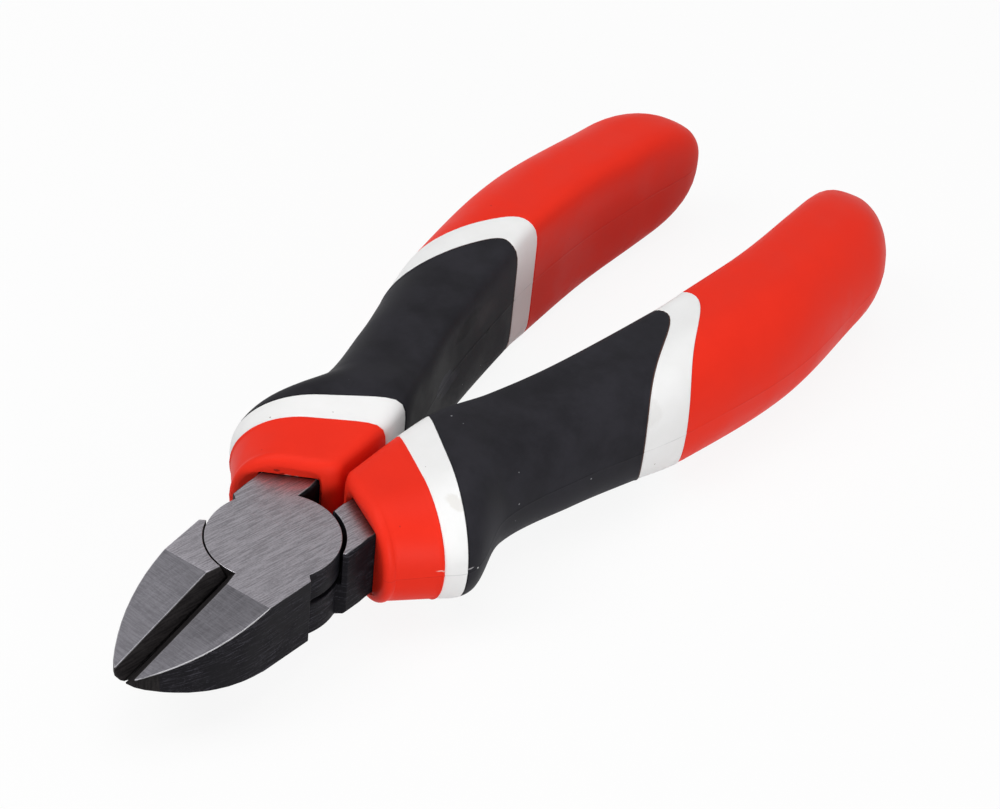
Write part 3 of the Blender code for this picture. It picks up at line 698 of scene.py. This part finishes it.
def makeFloor():
    bm = bmesh.new()
    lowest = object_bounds()[0][2] - studio["floorDrop"]
    bmesh.ops.create_grid(bm, x_segments=2, y_segments=2, size=studio["floorSize"],
                          matrix=Matrix.Translation((0, 0, lowest)))
    mesh = bpy.data.meshes.new("floor")
    bm.to_mesh(mesh)
    bm.free()
    material, tree, shader, place = newMaterial("paleFloor")
    shader.inputs["Roughness"].default_value = 0.9
    shader.inputs["Specular IOR Level"].default_value = 0.1
    rays = putNode(tree, "ShaderNodeLightPath").outputs  # seen straight on or mirrored, the floor is white
    seen = math1(tree, "MAXIMUM", rays["Is Camera Ray"],
                 math1(tree, "MAXIMUM", rays["Is Glossy Ray"], rays["Is Transmission Ray"]))
    tone = putNode(tree, "ShaderNodeMix", {"Factor": seen, "A": studio["floorBounce"], "B": 0.86}, data_type="FLOAT")
    tree.links.new(tone.outputs[0], shader.inputs["Base Color"])
    glow = putNode(tree, "ShaderNodeEmission", {"Color": (1, 1, 1, 1), "Strength": 1.0})
    both = putNode(tree, "ShaderNodeMixShader", {0: math1(tree, "MULTIPLY", seen, studio["floorWhite"]),
                                                 1: shader.outputs[0], 2: glow.outputs[0]})
    tree.links.new(both.outputs[0], tree.nodes["Material Output"].inputs["Surface"])
    mesh.materials.append(material)
    floor = bpy.data.objects.new("floor", mesh)
    bpy.context.scene.collection.objects.link(floor)


def makeWorld():
    world = bpy.data.worlds.new("softStudio")
    bpy.context.scene.world = world
    world.use_nodes = True
    tree = world.node_tree
    back = tree.nodes["Background"]
    rays = putNode(tree, "ShaderNodeLightPath").outputs
    way = putNode(tree, "ShaderNodeTexCoord").outputs["Generated"]
    up = putNode(tree, "ShaderNodeSeparateXYZ", {"Vector": way}).outputs["Z"]
    level = spread(tree, up, 0.1, 0.85, 1.0, studio["zenith"])
    seen = math1(tree, "MAXIMUM", rays["Is Camera Ray"],
                 math1(tree, "MAXIMUM", rays["Is Glossy Ray"], rays["Is Transmission Ray"]))
    shown = putNode(tree, "ShaderNodeMix", {"Factor": seen, "A": studio["world"], "B": level}, data_type="FLOAT")
    back.inputs["Color"].default_value = (1, 1, 1, 1)
    tree.links.new(shown.outputs[0], back.inputs["Strength"])


def makeLamp(name, place, size, power):
    lamp = bpy.data.lights.new(name, "AREA")
    lamp.shape = "DISK"
    lamp.size = size
    lamp.energy = power
    holder = bpy.data.objects.new(name, lamp)
    aim = Vector((0, 0.05, 0)) - Vector(place)
    holder.matrix_world = Matrix.Translation(place) @ aim.to_track_quat("-Z", "Y").to_matrix().to_4x4()
    bpy.context.scene.collection.objects.link(holder)


view = {"place": (0.145308, -0.184516, 0.206640), "azimuth": 31.53, "height": 36.33, "roll": 6.18, "lens": 84.53}


def makeCamera():
    azimuth, height, roll = (math.radians(view[key]) for key in ("azimuth", "height", "roll"))
    back = Vector((math.sin(azimuth) * math.cos(height), -math.cos(azimuth) * math.cos(height), math.sin(height)))
    right = Vector((math.cos(azimuth), math.sin(azimuth), 0))
    up = back.cross(right)
    rolledRight = math.cos(roll) * right + math.sin(roll) * up
    rolledUp = math.cos(roll) * up - math.sin(roll) * right
    lens = bpy.data.cameras.new("view")
    lens.lens = view["lens"]
    lens.sensor_width = 36
    lens.sensor_fit = "HORIZONTAL"
    lens.clip_start = 0.01
    camera = bpy.data.objects.new("view", lens)
    turn = Matrix((rolledRight, rolledUp, back)).transposed().to_4x4()
    camera.matrix_world = Matrix.Translation(view["place"]) @ turn
    bpy.context.scene.collection.objects.link(camera)
    bpy.context.scene.camera = camera


makeFloor()
makeWorld()
makeLamp("key", studio["keyPlace"], studio["keySize"], studio["keyPower"])
makeLamp("fill", studio["fillPlace"], studio["fillSize"], studio["fillPower"])
makeLamp("top", studio["topPlace"], studio["topSize"], studio["topPower"])
makeCamera()
bpy.context.scene.view_settings.view_transform = "Standard"
print("stage set")
